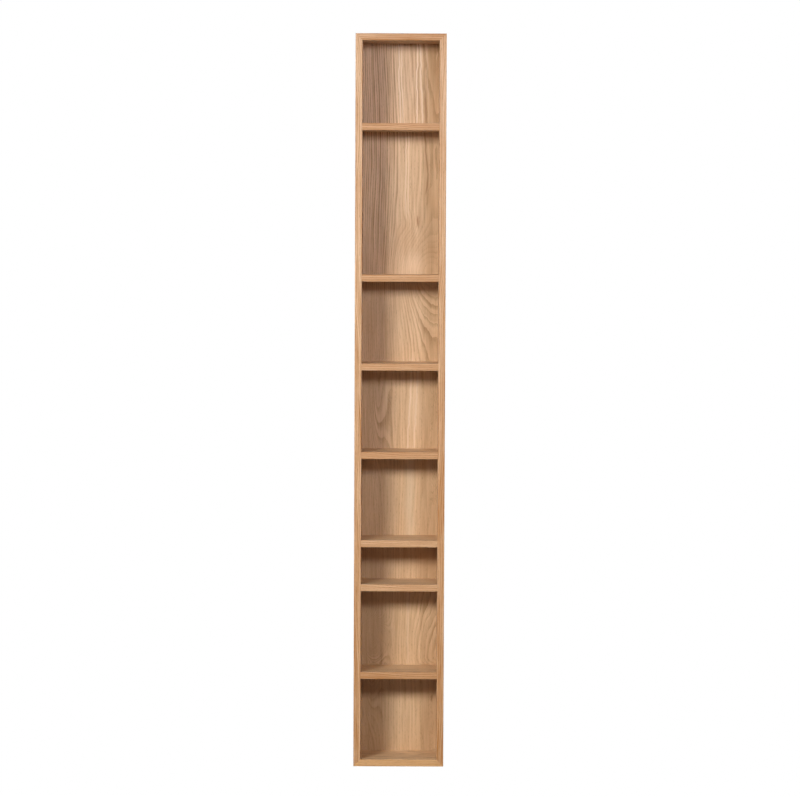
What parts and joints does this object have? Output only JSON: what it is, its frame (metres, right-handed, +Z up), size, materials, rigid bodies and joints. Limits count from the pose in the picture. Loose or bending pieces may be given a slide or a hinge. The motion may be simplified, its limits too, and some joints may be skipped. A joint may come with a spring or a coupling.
{
  "type": "wall cabinet",
  "caption": "Tall, narrow, open wall cabinet in oak veneer: a mitred frame with fixed shelves, a set-back back panel and keyhole hangers behind it.",
  "frame": {"origin": "on the wall plane, midway between the two keyhole entry holes", "axes": "+X to the cabinet's right as seen from the front, +Y back to the wall, +Z up"},
  "size_m": [0.222, 0.14, 1.8],
  "materials": {
    "oak_board": "satin",
    "oak_back": "satin",
    "oak_lipping": "satin",
    "joinery_wood": "matte",
    "rail_wood": "matte",
    "zinc_steel": "zinc plated"
  },
  "bodies": {
    "root": {"left_side": "oak_board", "right_side": "oak_board", "top_board": "oak_board", "bottom_board": "oak_board", "corner_spline_top_left": "joinery_wood", "corner_spline_top_right": "joinery_wood", "corner_spline_bottom_left": "joinery_wood", "corner_spline_bottom_right": "joinery_wood", "shelf_1": "oak_board", "shelf_2": "oak_board", "shelf_3": "oak_board", "shelf_4": "oak_board", "shelf_5": "oak_board", "shelf_6": "oak_board", "shelf_7": "oak_board", "left_shelf_dowels": "joinery_wood", "right_shelf_dowels": "joinery_wood", "back_panel": "oak_back", "back_panel_screws": "zinc_steel", "hanging_rail": "rail_wood", "rail_dowels": "joinery_wood", "left_hanger_plate": "zinc_steel", "right_hanger_plate": "zinc_steel", "hanger_screws": "zinc_steel", "left_side_lipping": "oak_lipping", "right_side_lipping": "oak_lipping", "top_lipping": "oak_lipping", "bottom_lipping": "oak_lipping", "shelf_1_lipping": "oak_lipping", "shelf_2_lipping": "oak_lipping", "shelf_3_lipping": "oak_lipping", "shelf_4_lipping": "oak_lipping", "shelf_5_lipping": "oak_lipping", "shelf_6_lipping": "oak_lipping", "shelf_7_lipping": "oak_lipping"}
  },
  "joints": []
}
